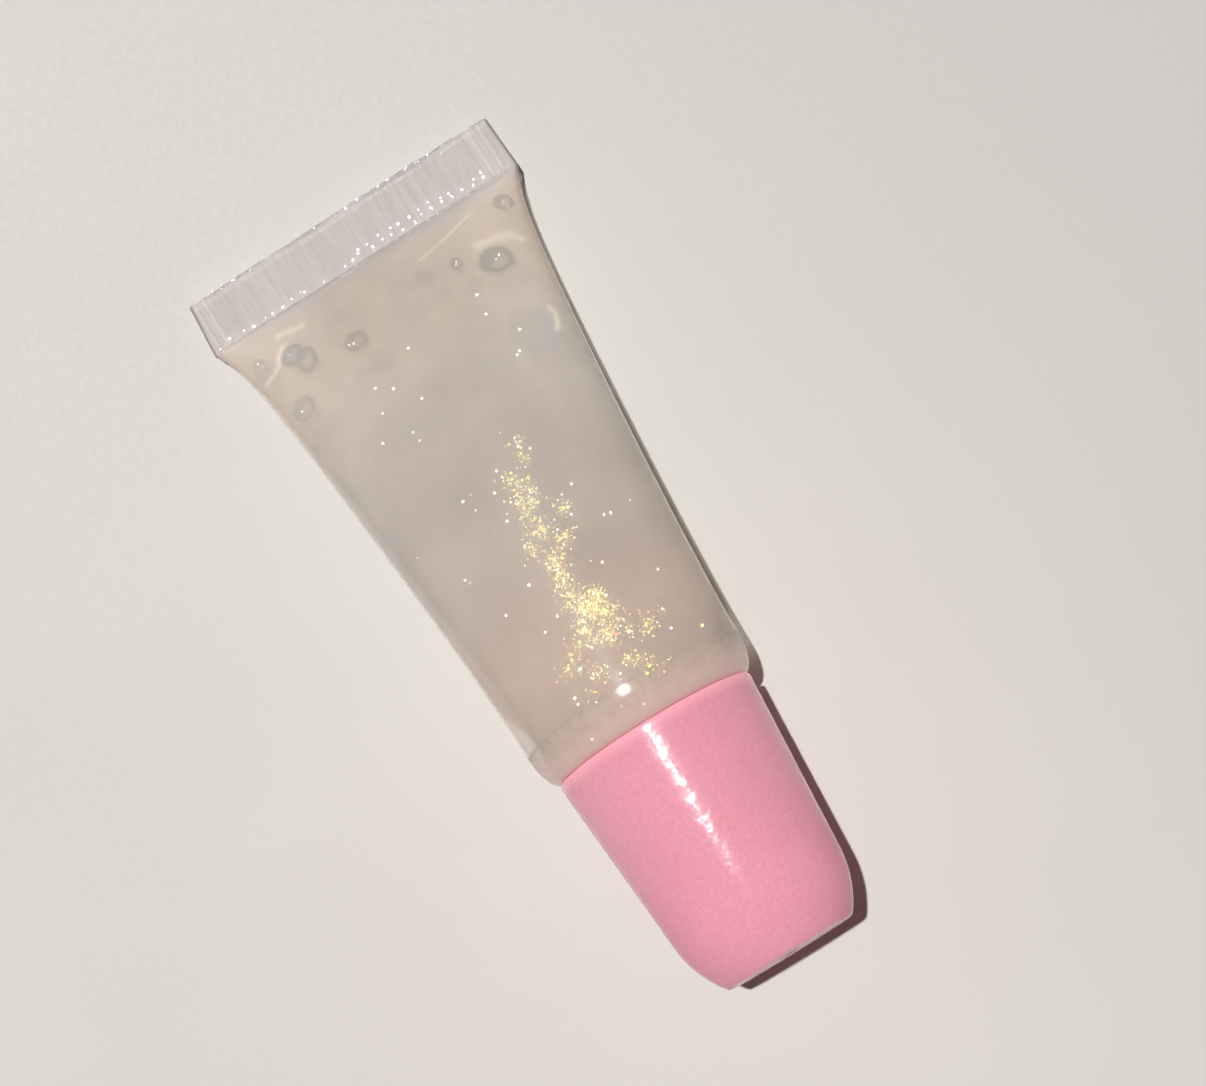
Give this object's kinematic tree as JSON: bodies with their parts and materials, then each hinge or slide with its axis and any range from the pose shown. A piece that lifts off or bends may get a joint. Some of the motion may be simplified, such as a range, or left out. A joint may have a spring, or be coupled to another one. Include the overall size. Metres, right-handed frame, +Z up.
{
  "type": "lip gloss tube",
  "caption": "Clear flat-sealed squeeze tube of gloss with gold glitter and air bubbles, lying on its side, with a glossy pink tapered screw cap over a slanted applicator tip.",
  "frame": {"origin": "on the surface that the tube lies on, under the middle of its outline", "axes": "+X from the flat seal towards the cap, +Y across the seal, +Z up; the tube's own axis rises 10 degrees from +X because the wedge-shaped side lies flat"},
  "size_m": [0.0685, 0.0286, 0.02],
  "materials": {
    "sleeve_film": "clear soft polyethylene, faintly frosted",
    "head_plastic": "natural translucent polyethylene",
    "tip_plastic": "soft satin",
    "gloss_gel": "clear thick gel, faintly warm",
    "glitter": "metallised gold film",
    "washer_foam": "closed-cell foam",
    "inner_cap_plastic": "moulded, satin",
    "cap_gloss": "polished, pastel pink"
  },
  "bodies": {
    "tube": {"tube_sleeve": "sleeve_film", "tube_head": "head_plastic", "applicator_tip": "tip_plastic", "gloss_fill": "gloss_gel", "glitter_flakes": "glitter"},
    "seal_ring": {"seal_washer": "washer_foam"},
    "cap": {"cap_shell": "cap_gloss", "inner_cap": "inner_cap_plastic"}
  },
  "joints": [
    {"name": "cap_rise", "type": "slide", "parent": "tube", "child": "seal_ring", "axis": [0.9848, 0, 0.1736], "range_m": [0, 0.01681]},
    {"name": "cap_turn", "type": "hinge", "parent": "seal_ring", "child": "cap", "pos_m": [0.01345, 0, 0.01001], "axis": [0.9848, 0, 0.1736], "range_deg": [0, 2160]}
  ],
  "couplings": [
    {"joint": "cap_rise", "follows": "cap_turn", "m_per_rad": 0.00044563}
  ]
}
